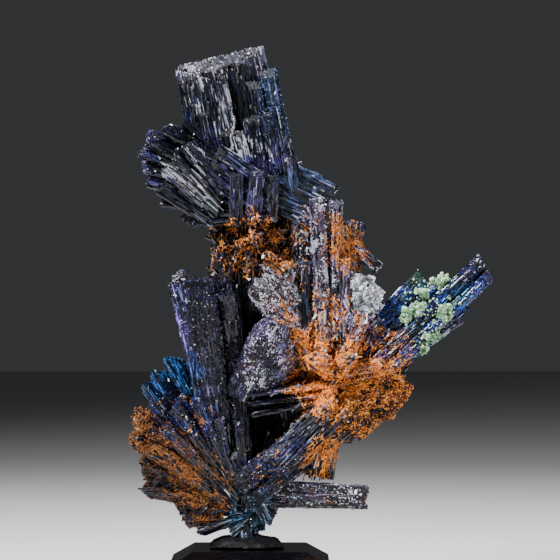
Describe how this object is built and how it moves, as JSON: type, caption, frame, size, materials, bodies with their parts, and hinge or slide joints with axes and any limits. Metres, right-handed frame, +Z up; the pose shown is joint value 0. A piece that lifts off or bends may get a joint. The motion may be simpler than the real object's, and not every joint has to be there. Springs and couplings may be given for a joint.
{
  "type": "azurite specimen",
  "caption": "Tall cluster of intergrown dark blue azurite blades with rusty limonite and pale green malachite tufts, held upright by black putty on a bevelled black display base.",
  "frame": {"origin": "centre of the display base's underside", "axes": "+Z up along the specimen's height, -Y towards the specimen's best face, +X to the right as that face is looked at"},
  "size_m": [0.0726, 0.0342, 0.1108],
  "materials": {
    "azurite": "glassy to satin, striated along each blade",
    "limonite": "earthy, matt",
    "malachite": "matt, finely knobbly",
    "pale_mineral": "frosted",
    "putty": "rough, matt",
    "black_acrylic": "polished"
  },
  "bodies": {
    "root": {"azurite_cluster": "azurite", "limonite_matrix_left": "limonite", "limonite_crust_right": "limonite", "malachite_tuft_1": "malachite", "malachite_tuft_2": "malachite", "malachite_tuft_3": "malachite", "malachite_tuft_4": "malachite", "malachite_tuft_5": "malachite", "malachite_tuft_6": "malachite", "pale_crystal": "pale_mineral", "mounting_putty": "putty", "display_base": "black_acrylic"}
  },
  "joints": []
}
